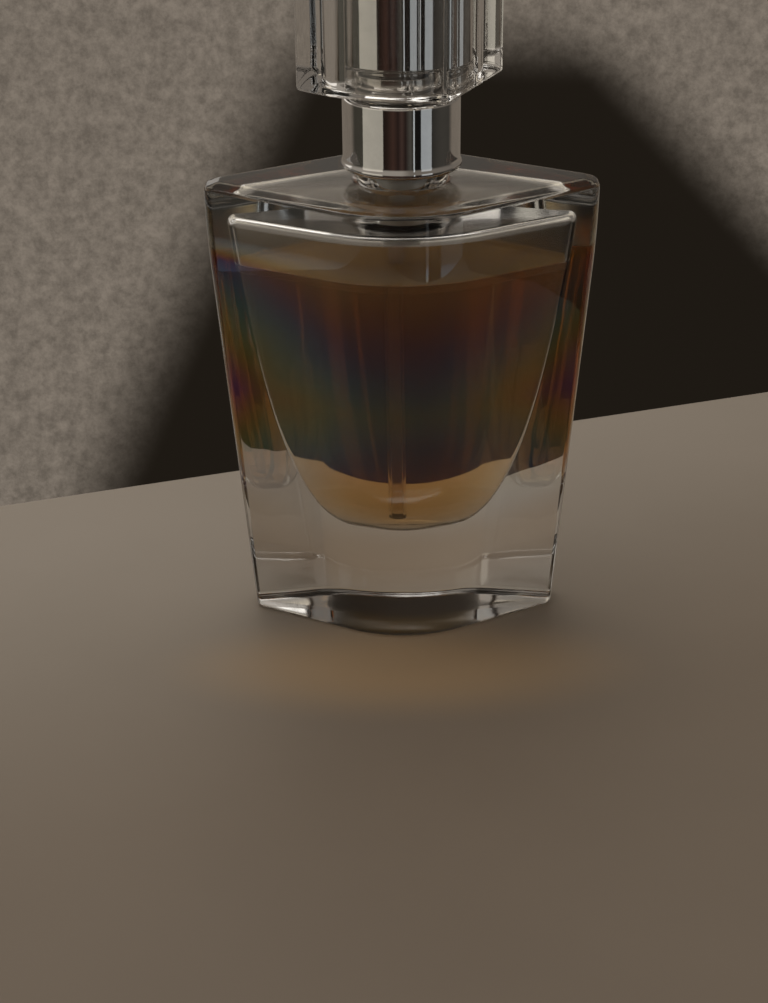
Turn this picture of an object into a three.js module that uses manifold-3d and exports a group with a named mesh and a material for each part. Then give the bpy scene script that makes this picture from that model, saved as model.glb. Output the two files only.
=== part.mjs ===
// Perfume bottle: a heavy glass flask with a crimped fine-mist pump, a chrome collar and a
// clear block cap that lifts straight off. Millimetres, +Z up, origin at the centre of the
// base, long axis of the flask along X, nozzle pointing along -Y.
import * as THREE from "three";
import { mergeVertices } from "three/addons/utils/BufferGeometryUtils.js";
import Module from "manifold-3d";

const wasm = await Module();
wasm.setup();

// ---------- driving dimensions ----------

const GAP = 0.3; // between pieces that rest on each other
const SLIP = 0.05; // running clearance all round a sliding or turning fit
const WIDE_SEGMENTS = 40; // round pieces over 10 mm across
const FINE_SEGMENTS = 24; // round pieces under 10 mm across

// Flask: a four-sided plan with straight wings, rounded front and back and narrow flat ends.
// It narrows evenly from the shoulder to the base, in depth a little more than in length.
const FLASK_TOP = 71.5;
const FLASK_SHOULDER = 70; // height at which the shoulder plan is stated
const FLASK_END_HALF_WIDTH = 3;
const FLASK_BELLY_RADIUS = 18;
const SHOULDER_HALF_LENGTH = 30.15;
const SHOULDER_HALF_DEPTH = 19;
const SHOULDER_CORNER_RADIUS = 3.5;
const BASE_HALF_LENGTH = 24.1;
const BASE_HALF_DEPTH = 13.6;
const BASE_CORNER_RADIUS = 1.6;
const BASE_EDGE_RADIUS = 0.9;
const SHARPEST_CORNER = 0.4; // a plan drawn inwards keeps at least this corner radius
const SOFTENING_START = 58; // the walls lean back gently above this height
const SOFTENING_INSET = 0.5;
const RIM_RADIUS = 0.7; // outer edge of the shoulder
const RIM_RISE = 0.55; // height of the shallow bevel between that edge and the flat top
const RIM_WIDTH = 2.1;

// Cavity: the same kind of plan but rounder, closing to a U towards a thick glass base.
const CAVITY_FLOOR = 16;
const CAVITY_CEILING = 66.5;
const CAVITY_HALF_LENGTH = 25.3;
const CAVITY_HALF_DEPTH = 11.8;
const CAVITY_END_HALF_WIDTH = 1.7;
const CAVITY_BELLY_RADIUS = 24;
const CAVITY_CORNER_RADIUS = 2;
const CAVITY_U_POWER = 0.3; // plan scale = (height above the floor / cavity height) ^ power
const CEILING_RADIUS = 1.6;
const LIQUID_TOP = 58.7;

// Neck finish for a 15 mm crimp pump.
const NECK_TOP = 80;
const NECK_RADIUS = 6.6;
const NECK_BEAD_RADIUS = 7.5;
const NECK_BEAD_BOTTOM = 77;
const NECK_BORE_RADIUS = 4.6;
const NECK_ROOT_RADIUS = 8.2;

// Pump.
const FLANGE_RADIUS = 7.2;
const FLANGE_BOTTOM = NECK_TOP + 1;
const FLANGE_TOP = FLANGE_BOTTOM + 1;
const HOUSING_TOP = 85.4;
const HOUSING_BOTTOM = 68;
const HOUSING_RADIUS = 3.9;
const PUMP_BORE_RADIUS = 3.2;
const SPRING_LEDGE = 70.8;
const TAIL_RADIUS = 2;
const TAIL_BOTTOM = 63.5;
const BALL_RADIUS = 1;
const BALL_CHAMBER_RADIUS = 1.25;
const INLET_RADIUS = 0.6;
const INLET_TOP = 67.8;
const TUBE_RADIUS = 1;
const TUBE_BORE_RADIUS = 0.6;
const TUBE_TOP = 66.8;
const TUBE_BOTTOM = CAVITY_FLOOR + 1.5;
const TUBE_DRIFT = -0.9; // the tube bows this far towards -X on its way down
const STEM_RADIUS = 1.65;
const STEM_BORE_RADIUS = 0.7;
const STEM_BOTTOM = 81.3;
const STEM_TOP = 94;
const STEM_SHOULDER_BOTTOM = 84.2;
const STEM_SHOULDER_RADIUS = 2.5;
const SPRING_RADIUS = 2.55;
const SPRING_WIRE_RADIUS = 0.22;
const SPRING_TURNS = 7;
const SPRING_END_ROOM = 0.1;
const VALVE_FOOT = 1; // thickness of the foot that the spring pushes on
const STACK_GAP = 0.1; // between flat rings clamped one on the other under the ferrule
const GUIDE_RADIUS = 4.2;
const GASKET_HEIGHT = 0.7;

// Metalwork over the neck.
const SHEET = 0.4;
const FERRULE_RADIUS = 8.05;
const FERRULE_TOP = FLANGE_TOP + 0.1 + SHEET;
const TURRET_RADIUS = 4.9;
const TURRET_TOP = 87.6;
const COLLAR_FOOT = 73.4;
const COLLAR_TOP = 84.3;
const COLLAR_RADIUS = 8.8;
const COLLAR_INNER_RADIUS = 8.35;
const COLLAR_FLANGE = 0.5;
const UPSTAND_TOP = 88.3;
const UPSTAND_RADIUS = 7;
const UPSTAND_INNER_RADIUS = 6.5;

// Spray head.
const HEAD_RADIUS = 6.1;
const HEAD_BOTTOM = 86.6;
const HEAD_TOP = 98.6;
const HEAD_WALL = 0.3;
const NOZZLE_HEIGHT = 95.2;
const NOZZLE_RADIUS = 2.1;
const NOZZLE_DEPTH = 2.4;

// Cap.
const CAP_BOTTOM = 86;
const CAP_HEIGHT = 27;
const CAP_WIDTH = 24; // between its flat sides
const CAP_DEPTH = 22.2; // along its flat sides
const CAP_BULGE = 2.7; // the two curved faces stand this much further out in the middle
const CAP_TURN = -23; // degrees about the vertical, from square with the flask
const CAP_EDGE = 0.6;
const CAP_BORE_RADIUS = 9.2;
const CAP_BORE_TOP = 107.1;
const LINER_RADIUS = 9.05;
const LINER_BOTTOM = 89.8;
const INSERT_RADIUS = 8.4;
const INSERT_INNER_RADIUS = 7.2;
const INSERT_TOP = 104.5;

// ---------- solids and placing ----------

function solidOf(geometry) {
  const bare = geometry.clone();
  bare.deleteAttribute("normal");
  bare.deleteAttribute("uv");
  const merged = mergeVertices(bare, 1e-4);
  return new wasm.Manifold(
    new wasm.Mesh({
      numProp: 3,
      vertProperties: merged.attributes.position.array,
      triVerts: new Uint32Array(merged.index.array),
    }),
  );
}

function geometryOf(solid) {
  const mesh = solid.getMesh();
  const geometry = new THREE.BufferGeometry();
  geometry.setAttribute("position", new THREE.BufferAttribute(mesh.vertProperties, 3));
  geometry.setIndex(new THREE.BufferAttribute(mesh.triVerts, 1));
  geometry.computeVertexNormals();
  return geometry;
}

function cut(body, ...tools) {
  const left = tools.reduce((solid, tool) => solid.subtract(solidOf(tool)), solidOf(body));
  return geometryOf(left);
}

function join(...pieces) {
  return geometryOf(pieces.map(solidOf).reduce((all, piece) => all.add(piece)));
}

// A solid of revolution about Z from [radius, height] pairs; the profile closes on itself.
function lathe(profile, segments) {
  const points = profile.map(([radius, height]) => new THREE.Vector2(radius, height));
  if (THREE.ShapeUtils.area(points) < 0) points.reverse();
  points.push(points[0].clone());
  return new THREE.LatheGeometry(points, segments).rotateX(Math.PI / 2);
}

// A flat ring with a square section.
function ring(innerRadius, outerRadius, bottom, top, segments) {
  const profile = [
    [innerRadius, bottom],
    [outerRadius, bottom],
    [outerRadius, top],
    [innerRadius, top],
  ];
  return lathe(profile, segments);
}

// An upright round bar.
function bar(radius, bottom, top, segments) {
  const geometry = new THREE.CylinderGeometry(radius, radius, top - bottom, segments);
  return geometry.rotateX(Math.PI / 2).translate(0, 0, (bottom + top) / 2);
}

// A tube or bar of the given section radius along a curve.
function sweep(path, radius, boreRadius, sides, steps) {
  const section = new THREE.Shape().absarc(0, 0, radius, 0, 2 * Math.PI, false);
  if (boreRadius > 0) {
    section.holes.push(new THREE.Path().absarc(0, 0, boreRadius, 0, 2 * Math.PI, true));
  }
  return new THREE.ExtrudeGeometry(section, {
    steps,
    curveSegments: sides / 2,
    extrudePath: path,
    bevelEnabled: false,
  });
}

// Joins closed outlines of equal point count, lowest first, into one solid.
function loft(levels) {
  const count = levels[0].outline.length;
  const positions = [];
  const index = [];
  for (const { z, outline } of levels) {
    for (const point of outline) positions.push(point.x, point.y, z);
  }
  for (let level = 1; level < levels.length; level += 1) {
    for (let k = 0; k < count; k += 1) {
      const next = (k + 1) % count;
      const below = (level - 1) * count;
      const above = level * count;
      index.push(below + k, below + next, above + next);
      index.push(below + k, above + next, above + k);
    }
  }
  const bottomCentre = positions.length / 3;
  positions.push(0, 0, levels[0].z);
  positions.push(0, 0, levels[levels.length - 1].z);
  const topStart = (levels.length - 1) * count;
  for (let k = 0; k < count; k += 1) {
    const next = (k + 1) % count;
    index.push(bottomCentre, next, k);
    index.push(bottomCentre + 1, topStart + k, topStart + next);
  }
  const geometry = new THREE.BufferGeometry();
  geometry.setAttribute("position", new THREE.Float32BufferAttribute(positions, 3));
  geometry.setIndex(index);
  return geometry;
}

function arcPoints(centre, radius, from, to, steps) {
  return Array.from({ length: steps + 1 }, (_, k) => {
    const angle = from + ((to - from) * k) / steps;
    return new THREE.Vector2(
      centre.x + radius * Math.cos(angle),
      centre.y + radius * Math.sin(angle),
    );
  });
}

// The plan of the flask, counter-clockwise: a belly arc at front and back, straight wings
// tangent to it, and narrow flat ends with rounded corners. The wings run from the belly to
// the point (halfLength, endHalfWidth). An inset moves every side inwards by that much.
function flaskPlan({ halfLength, halfDepth, endHalfWidth, bellyRadius, cornerRadius }, inset) {
  const centreY = halfDepth - bellyRadius;
  const reach = Math.hypot(halfLength, endHalfWidth - centreY);
  const wingNormal =
    Math.atan2(endHalfWidth - centreY, halfLength) + Math.acos(bellyRadius / reach);
  const roundness = Math.max(cornerRadius - inset, SHARPEST_CORNER);
  const corner = new THREE.Vector2(
    halfLength - inset - roundness,
    endHalfWidth - (inset + roundness) * Math.tan(wingNormal / 2),
  );
  const belly = new THREE.Vector2(0, centreY);
  const quarter = [
    ...arcPoints(corner, roundness, 0, wingNormal, 3),
    ...arcPoints(belly, bellyRadius - inset, wingNormal, Math.PI / 2, 6),
  ];
  const mirrored = quarter
    .slice(0, -1)
    .reverse()
    .map((point) => new THREE.Vector2(-point.x, point.y));
  const backHalf = [...quarter, ...mirrored];
  const frontHalf = backHalf.map((point) => new THREE.Vector2(-point.x, -point.y));
  return [...backHalf, ...frontHalf];
}

function scaledPlan(plan, scale) {
  return {
    halfLength: plan.halfLength * scale,
    halfDepth: plan.halfDepth * scale,
    endHalfWidth: plan.endHalfWidth * scale,
    bellyRadius: plan.bellyRadius * scale,
    cornerRadius: plan.cornerRadius * scale,
  };
}

// ---------- flask and liquid ----------

const CAVITY_PLAN = {
  halfLength: CAVITY_HALF_LENGTH,
  halfDepth: CAVITY_HALF_DEPTH,
  endHalfWidth: CAVITY_END_HALF_WIDTH,
  bellyRadius: CAVITY_BELLY_RADIUS,
  cornerRadius: CAVITY_CORNER_RADIUS,
};

function outerLevel(z, inset) {
  const between = (base, shoulder) => THREE.MathUtils.lerp(base, shoulder, z / FLASK_SHOULDER);
  const plan = {
    halfLength: between(BASE_HALF_LENGTH, SHOULDER_HALF_LENGTH),
    halfDepth: between(BASE_HALF_DEPTH, SHOULDER_HALF_DEPTH),
    endHalfWidth: FLASK_END_HALF_WIDTH,
    bellyRadius: FLASK_BELLY_RADIUS,
    cornerRadius: between(BASE_CORNER_RADIUS, SHOULDER_CORNER_RADIUS),
  };
  return { z, outline: flaskPlan(plan, inset) };
}

// Quarter-round from a wall to a horizontal face: [height, inset] pairs.
function edgeRound(radius, steps) {
  return arcPoints(new THREE.Vector2(0, 0), radius, 0, Math.PI / 2, steps).map((point) => [
    point.y,
    radius - point.x,
  ]);
}

function flaskOuter() {
  const rimTop = FLASK_TOP - RIM_RISE;
  const rimBottom = rimTop - RIM_RADIUS;
  const foot = edgeRound(BASE_EDGE_RADIUS, 3)
    .reverse()
    .map(([height, inset]) => outerLevel(BASE_EDGE_RADIUS - height, inset));
  const lean = [0, 0.35, 0.7].map((share) =>
    outerLevel(
      THREE.MathUtils.lerp(SOFTENING_START, rimBottom, share),
      SOFTENING_INSET * share ** 2,
    ),
  );
  const rim = edgeRound(RIM_RADIUS, 3).map(([height, inset]) =>
    outerLevel(rimBottom + height, SOFTENING_INSET + inset),
  );
  const top = outerLevel(FLASK_TOP, SOFTENING_INSET + RIM_RADIUS + RIM_WIDTH);
  return loft([...foot, ...lean, ...rim, top]);
}

// A level of the cavity, drawn in from the glass by gap on every side.
function cavityLevel(z, gap) {
  const share = (z - gap - CAVITY_FLOOR) / (CAVITY_CEILING - CAVITY_FLOOR);
  const scale = Math.min(share, 1) ** CAVITY_U_POWER;
  const intoRound = Math.max(z + CEILING_RADIUS - CAVITY_CEILING, 0);
  const roundInset = CEILING_RADIUS - Math.sqrt(CEILING_RADIUS ** 2 - intoRound ** 2);
  return { z, outline: flaskPlan(scaledPlan(CAVITY_PLAN, scale), gap + roundInset) };
}

// The levels crowd together towards the floor, where the U turns fastest.
function cavityBody(top, gap) {
  const steps = 10;
  const floor = CAVITY_FLOOR + gap;
  const levels = Array.from({ length: steps }, (_, k) =>
    cavityLevel(floor + (top - floor) * ((k + 1) / steps) ** 3, gap),
  );
  levels.unshift(cavityLevel(floor + 0.01, gap));
  return levels;
}

function neckOuter() {
  const profile = [
    [0, FLASK_TOP - 1],
    [NECK_ROOT_RADIUS, FLASK_TOP - 1],
    [NECK_ROOT_RADIUS, FLASK_TOP],
    [NECK_RADIUS + 0.5, FLASK_TOP + 0.5],
    [NECK_RADIUS, FLASK_TOP + 1.5],
    [NECK_RADIUS, NECK_BEAD_BOTTOM - 0.6],
    [NECK_BEAD_RADIUS, NECK_BEAD_BOTTOM],
    [NECK_BEAD_RADIUS, NECK_TOP - 0.5],
    [NECK_BEAD_RADIUS - 0.5, NECK_TOP],
    [0, NECK_TOP],
  ];
  return lathe(profile, WIDE_SEGMENTS);
}

function neckBore() {
  const flare = 1.2;
  const profile = [
    [0, CAVITY_CEILING - 1],
    [NECK_BORE_RADIUS + flare, CAVITY_CEILING - 1],
    [NECK_BORE_RADIUS + flare, CAVITY_CEILING],
    [NECK_BORE_RADIUS, CAVITY_CEILING + flare],
    [NECK_BORE_RADIUS, NECK_TOP + 1],
    [0, NECK_TOP + 1],
  ];
  return lathe(profile, WIDE_SEGMENTS);
}

function glassFlask() {
  const wall = cavityBody(CAVITY_CEILING - CEILING_RADIUS, 0);
  const ceiling = [0.5, 0.85, 1].map((share) =>
    cavityLevel(CAVITY_CEILING - CEILING_RADIUS * (1 - share), 0),
  );
  return cut(join(flaskOuter(), neckOuter()), loft([...wall, ...ceiling]), neckBore());
}

// The bowed line that the dip tube follows, from the given height down to its foot.
function tubeLine(top, bottom) {
  return new THREE.CatmullRomCurve3([
    new THREE.Vector3(0, 0, top),
    new THREE.Vector3(0, 0, TAIL_BOTTOM),
    new THREE.Vector3(TUBE_DRIFT * 0.6, 0, 50),
    new THREE.Vector3(TUBE_DRIFT, 0, 30),
    new THREE.Vector3(TUBE_DRIFT, 0, bottom),
  ]);
}

function perfumeLiquid() {
  const body = loft(cavityBody(LIQUID_TOP, GAP));
  const channel = sweep(tubeLine(TUBE_TOP, TUBE_BOTTOM - GAP), TUBE_RADIUS + GAP, 0, 12, 16);
  return cut(body, channel);
}

// ---------- pump ----------

function dipTube() {
  return sweep(tubeLine(TUBE_TOP, TUBE_BOTTOM), TUBE_RADIUS, TUBE_BORE_RADIUS, 12, 16);
}

// Flange on the neck, cylinder bore, a snap lip that keeps the ball in its chamber, a 45
// degree seat under the ball, and the tail that grips the dip tube.
function pumpHousing() {
  const socketRadius = TUBE_RADIUS + SLIP;
  const lipRadius = BALL_RADIUS * 0.8;
  const lipBottom = SPRING_LEDGE - 0.4;
  const upperRadius = TURRET_RADIUS - SHEET - GAP;
  const profile = [
    [socketRadius, TAIL_BOTTOM],
    [TAIL_RADIUS, TAIL_BOTTOM],
    [TAIL_RADIUS, HOUSING_BOTTOM - 1.4],
    [HOUSING_RADIUS - 0.5, HOUSING_BOTTOM],
    [HOUSING_RADIUS, HOUSING_BOTTOM + 0.5],
    [HOUSING_RADIUS, FLANGE_BOTTOM],
    [FLANGE_RADIUS, FLANGE_BOTTOM],
    [FLANGE_RADIUS, FLANGE_TOP],
    [upperRadius, FLANGE_TOP],
    [upperRadius, HOUSING_TOP],
    [PUMP_BORE_RADIUS, HOUSING_TOP],
    [PUMP_BORE_RADIUS, SPRING_LEDGE],
    [lipRadius, SPRING_LEDGE],
    [lipRadius, lipBottom],
    [BALL_CHAMBER_RADIUS, lipBottom],
    [BALL_CHAMBER_RADIUS, INLET_TOP + BALL_CHAMBER_RADIUS - INLET_RADIUS],
    [INLET_RADIUS, INLET_TOP],
    [INLET_RADIUS, TUBE_TOP + GAP],
    [socketRadius, TUBE_TOP + GAP],
  ];
  return lathe(profile, FINE_SEGMENTS);
}

// On a 45 degree seat the centre of the ball is at root two radii above the cone's apex.
function checkBall() {
  const centre = INLET_TOP - INLET_RADIUS + Math.SQRT2 * BALL_RADIUS + SLIP;
  return new THREE.SphereGeometry(BALL_RADIUS, 16, 10).rotateX(Math.PI / 2).translate(0, 0, centre);
}

class Coil extends THREE.Curve {
  constructor(radius, bottom, top, turns) {
    super();
    Object.assign(this, { radius, bottom, top, turns });
  }

  getPoint(t) {
    const angle = 2 * Math.PI * this.turns * t;
    return new THREE.Vector3(
      this.radius * Math.cos(angle),
      this.radius * Math.sin(angle),
      THREE.MathUtils.lerp(this.bottom, this.top, t),
    );
  }
}

function pumpSpring() {
  const room = SPRING_WIRE_RADIUS + SPRING_END_ROOM;
  const bottom = SPRING_LEDGE + room;
  const top = STEM_BOTTOM - STACK_GAP - VALVE_FOOT - room;
  const coil = new Coil(SPRING_RADIUS, bottom, top, SPRING_TURNS);
  return sweep(coil, SPRING_WIRE_RADIUS, 0, 6, SPRING_TURNS * 12);
}

// Foot under the piston, with a pin that plugs the stem's bore.
function valveCore() {
  const footTop = STEM_BOTTOM - STACK_GAP;
  const footRadius = STEM_SHOULDER_RADIUS + 0.3;
  const pinRadius = STEM_BORE_RADIUS - SLIP;
  const pinTop = footTop + 1.6;
  const profile = [
    [0, footTop - VALVE_FOOT],
    [footRadius, footTop - VALVE_FOOT],
    [footRadius, footTop],
    [pinRadius, footTop],
    [pinRadius, pinTop],
    [0, pinTop],
  ];
  return lathe(profile, FINE_SEGMENTS);
}

// Hourglass ring with a wiping lip at each end.
function pumpPiston() {
  const bottom = STEM_BOTTOM + 0.2;
  const top = STEM_SHOULDER_BOTTOM - 0.2;
  const lip = PUMP_BORE_RADIUS - SLIP;
  const waist = lip - 0.5;
  const inner = STEM_RADIUS + SLIP;
  const profile = [
    [inner, bottom],
    [lip, bottom],
    [lip, bottom + 0.4],
    [waist, bottom + 0.9],
    [waist, top - 0.9],
    [lip, top - 0.4],
    [lip, top],
    [inner, top],
  ];
  return lathe(profile, FINE_SEGMENTS);
}

// Hollow stem with a stop shoulder and a cross port above the valve core's pin.
function pumpStem() {
  const profile = [
    [STEM_BORE_RADIUS, STEM_BOTTOM],
    [STEM_RADIUS, STEM_BOTTOM],
    [STEM_RADIUS, STEM_SHOULDER_BOTTOM],
    [STEM_SHOULDER_RADIUS, STEM_SHOULDER_BOTTOM],
    [STEM_SHOULDER_RADIUS, STEM_SHOULDER_BOTTOM + 0.9],
    [STEM_RADIUS, STEM_SHOULDER_BOTTOM + 0.9],
    [STEM_RADIUS, STEM_TOP - 0.3],
    [STEM_RADIUS - 0.3, STEM_TOP],
    [STEM_BORE_RADIUS, STEM_TOP],
  ];
  const port = new THREE.CylinderGeometry(0.3, 0.3, 3 * STEM_RADIUS, 10);
  return cut(lathe(profile, FINE_SEGMENTS), port.translate(0, 0, STEM_SHOULDER_BOTTOM - 0.7));
}

// Aluminium shell: skirt crimped in under the neck bead, disc over the flange, and a turret.
function crimpFerrule() {
  const inner = FERRULE_RADIUS - SHEET;
  const crimp = NECK_BEAD_BOTTOM - 1;
  const crimpRadius = NECK_RADIUS + 0.35;
  const stemHole = STEM_RADIUS + 0.35;
  const profile = [
    [crimpRadius + 0.2, crimp - 0.25],
    [FERRULE_RADIUS, crimp + 0.5],
    [FERRULE_RADIUS, FERRULE_TOP],
    [TURRET_RADIUS, FERRULE_TOP],
    [TURRET_RADIUS, TURRET_TOP],
    [stemHole, TURRET_TOP],
    [stemHole, TURRET_TOP - SHEET],
    [TURRET_RADIUS - SHEET, TURRET_TOP - SHEET],
    [TURRET_RADIUS - SHEET, FERRULE_TOP - SHEET],
    [inner, FERRULE_TOP - SHEET],
    [inner, crimp + 0.7],
    [crimpRadius, crimp + 0.1],
  ];
  return lathe(profile, WIDE_SEGMENTS);
}

// Seal between the neck's rim and the flange of the pump.
function neckGasket() {
  const bottom = NECK_TOP + STACK_GAP;
  return ring(NECK_BORE_RADIUS + 0.2, FLANGE_RADIUS, bottom, FLANGE_BOTTOM - STACK_GAP, WIDE_SEGMENTS);
}

// Seal round the stem, pressed onto the rim of the housing.
function stemGasket() {
  const bottom = HOUSING_TOP + STACK_GAP;
  return ring(STEM_RADIUS + SLIP, GUIDE_RADIUS, bottom, bottom + GASKET_HEIGHT, FINE_SEGMENTS);
}

// Bearing ring for the stem, between its gasket and the roof of the turret.
function stemGuide() {
  const bottom = HOUSING_TOP + GASKET_HEIGHT + 2 * STACK_GAP;
  const top = TURRET_TOP - SHEET - STACK_GAP;
  return ring(STEM_RADIUS + SLIP, GUIDE_RADIUS, bottom, top, FINE_SEGMENTS);
}

// ---------- collar ----------

// Chrome cover: flared bead at the foot, straight wall, stepped top with an upstand that
// the cap's insert slides over.
function chromeCollar() {
  const flare = 0.25;
  const bead = 1.2;
  const edge = 0.4;
  const profile = [
    [COLLAR_INNER_RADIUS, COLLAR_FOOT],
    [COLLAR_RADIUS + flare - 0.2, COLLAR_FOOT],
    [COLLAR_RADIUS + flare, COLLAR_FOOT + 0.25],
    [COLLAR_RADIUS + flare, COLLAR_FOOT + bead - 0.3],
    [COLLAR_RADIUS, COLLAR_FOOT + bead],
    [COLLAR_RADIUS, COLLAR_TOP - edge],
    [COLLAR_RADIUS - edge, COLLAR_TOP],
    [UPSTAND_RADIUS, COLLAR_TOP],
    [UPSTAND_RADIUS, UPSTAND_TOP],
    [UPSTAND_INNER_RADIUS, UPSTAND_TOP],
    [UPSTAND_INNER_RADIUS, COLLAR_TOP - COLLAR_FLANGE],
    [COLLAR_INNER_RADIUS, COLLAR_TOP - COLLAR_FLANGE],
  ];
  return lathe(profile, WIDE_SEGMENTS);
}

// Plastic ring that holds the cover on the ferrule, under the roof of the cover.
function collarInsert() {
  const bottom = FERRULE_TOP + 0.2;
  const top = COLLAR_TOP - COLLAR_FLANGE - 0.2;
  return ring(UPSTAND_INNER_RADIUS + 0.2, COLLAR_INNER_RADIUS - 0.15, bottom, top, WIDE_SEGMENTS);
}

// ---------- spray head ----------

function nozzleTool(radius, from, to) {
  const length = to - from;
  const geometry = new THREE.CylinderGeometry(radius, radius, length, FINE_SEGMENTS);
  return geometry.translate(0, -(from + to) / 2, NOZZLE_HEIGHT);
}

// Thin metal thimble with a shallow finger dish and a round window for the nozzle.
function headShell() {
  const inner = HEAD_RADIUS - HEAD_WALL;
  const edge = 0.8;
  const dish = 0.5;
  const profile = [
    [inner, HEAD_BOTTOM],
    [HEAD_RADIUS, HEAD_BOTTOM],
    [HEAD_RADIUS, HEAD_TOP - edge],
    [HEAD_RADIUS - edge, HEAD_TOP],
    [HEAD_RADIUS * 0.5, HEAD_TOP - dish * 0.75],
    [0, HEAD_TOP - dish],
    [0, HEAD_TOP - dish - HEAD_WALL],
    [HEAD_RADIUS * 0.5, HEAD_TOP - dish - HEAD_WALL],
    [inner, HEAD_TOP - edge - HEAD_WALL],
  ];
  const window = nozzleTool(NOZZLE_RADIUS + 0.15, HEAD_RADIUS / 2, HEAD_RADIUS + 1);
  return cut(lathe(profile, WIDE_SEGMENTS), window);
}

// Plastic body inside the shell: room for the turret, a stem socket, a channel to the
// nozzle, and the nozzle's seat.
function headCore() {
  const outer = HEAD_RADIUS - HEAD_WALL - 0.15;
  const roof = HEAD_TOP - 1.7;
  const turretRoom = TURRET_RADIUS + 0.25;
  const roomTop = TURRET_TOP + 4.3;
  const socketRadius = STEM_RADIUS + SLIP;
  const socketTop = STEM_TOP + 0.2;
  const profile = [
    [turretRoom, HEAD_BOTTOM + 0.2],
    [outer, HEAD_BOTTOM + 0.2],
    [outer, roof],
    [0, roof],
    [0, socketTop],
    [socketRadius, socketTop],
    [socketRadius, roomTop],
    [turretRoom, roomTop],
  ];
  const channelHeight = socketTop + 0.3 - NOZZLE_HEIGHT;
  const channel = nozzleTool(STEM_BORE_RADIUS, -STEM_BORE_RADIUS, 4);
  const seat = nozzleTool(NOZZLE_RADIUS + 0.1, outer - NOZZLE_DEPTH - 0.1, outer + 1);
  return cut(lathe(profile, WIDE_SEGMENTS), channel.translate(0, 0, channelHeight), seat);
}

// Round insert with a funnel mouth and a through orifice, drawn upright and laid along -Y.
function sprayNozzle() {
  const orifice = 0.2;
  const back = HEAD_RADIUS - HEAD_WALL - 0.15 - NOZZLE_DEPTH;
  const face = HEAD_RADIUS - 0.35;
  const profile = [
    [orifice, back],
    [NOZZLE_RADIUS, back],
    [NOZZLE_RADIUS, face],
    [NOZZLE_RADIUS - 0.5, face],
    [orifice * 2.5, face - 0.5],
    [orifice, face - 0.9],
  ];
  return lathe(profile, FINE_SEGMENTS).rotateX(Math.PI / 2).translate(0, 0, NOZZLE_HEIGHT);
}

// ---------- cap ----------

// Clear block with two flat sides, two bulged faces, softened edges and a blind bore.
function capShell() {
  const halfWidth = CAP_WIDTH / 2;
  const halfDepth = CAP_DEPTH / 2;
  const faceRadius = (halfWidth ** 2 + CAP_BULGE ** 2) / (2 * CAP_BULGE);
  const centreY = halfDepth + CAP_BULGE - faceRadius;
  const halfAngle = Math.asin(halfWidth / faceRadius);
  const up = Math.PI / 2;
  const plan = new THREE.Shape();
  plan.absarc(0, centreY, faceRadius, up - halfAngle, up + halfAngle, false);
  plan.absarc(0, -centreY, faceRadius, -up - halfAngle, -up + halfAngle, false);
  plan.closePath();
  const block = new THREE.ExtrudeGeometry(plan, {
    depth: CAP_HEIGHT - 2 * CAP_EDGE,
    curveSegments: 8,
    bevelThickness: CAP_EDGE,
    bevelSize: CAP_EDGE,
    bevelOffset: -CAP_EDGE,
    bevelSegments: 2,
  });
  block.translate(0, 0, CAP_BOTTOM + CAP_EDGE);
  return cut(block, bar(CAP_BORE_RADIUS, CAP_BOTTOM - 1, CAP_BORE_TOP, WIDE_SEGMENTS));
}

// Bright metal cup glued into the bore; its mouth stops short of the block's lower face.
function capLiner() {
  const top = CAP_BORE_TOP - GAP;
  const profile = [
    [LINER_RADIUS - SHEET, LINER_BOTTOM],
    [LINER_RADIUS, LINER_BOTTOM],
    [LINER_RADIUS, top],
    [0, top],
    [0, top - SHEET],
    [LINER_RADIUS - SHEET, top - SHEET],
  ];
  return lathe(profile, WIDE_SEGMENTS);
}

// Plastic sleeve that grips the collar's upstand; a flange fills the block's mouth and a
// lip below it rests on the collar.
function capInsert() {
  const lipBottom = COLLAR_TOP + GAP;
  const flangeRadius = CAP_BORE_RADIUS - 0.2;
  const profile = [
    [INSERT_INNER_RADIUS, lipBottom],
    [INSERT_RADIUS - 0.2, lipBottom],
    [INSERT_RADIUS - 0.2, CAP_BOTTOM],
    [flangeRadius, CAP_BOTTOM + 0.2],
    [flangeRadius, LINER_BOTTOM - GAP],
    [INSERT_RADIUS, LINER_BOTTOM - GAP],
    [INSERT_RADIUS, INSERT_TOP],
    [INSERT_INNER_RADIUS, INSERT_TOP],
  ];
  return lathe(profile, WIDE_SEGMENTS);
}

// ---------- materials ----------

const glass = { color: 0xe8eef0, roughness: 0.02, metalness: 0, transparent: true, opacity: 0.35 };
const amber = { color: 0x8a4a12, roughness: 0.02, metalness: 0, transparent: true, opacity: 0.8 };
const acrylic = { color: 0xf0efec, roughness: 0.05, metalness: 0, transparent: true, opacity: 0.4 };
const chrome = { color: 0xc9cacc, roughness: 0.06, metalness: 1 };
const aluminium = { color: 0xb9babd, roughness: 0.3, metalness: 1 };
const steel = { color: 0xa8a9ab, roughness: 0.25, metalness: 1 };
const naturalPlastic = { color: 0xe6e4de, roughness: 0.45, metalness: 0 };
const whitePlastic = { color: 0xf2f1ee, roughness: 0.35, metalness: 0 };
const rubber = { color: 0x3a3a3c, roughness: 0.8, metalness: 0 };

// ---------- assembly ----------

function piece(name, geometry, look) {
  const mesh = new THREE.Mesh(geometry, new THREE.MeshStandardMaterial(look));
  mesh.name = name;
  return mesh;
}

function groupOf(...children) {
  const group = new THREE.Group();
  group.add(...children);
  return group;
}

const flaskAndLiquid = groupOf(
  piece("glass_flask", glassFlask(), glass),
  piece("perfume_liquid", perfumeLiquid(), amber),
);

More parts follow.
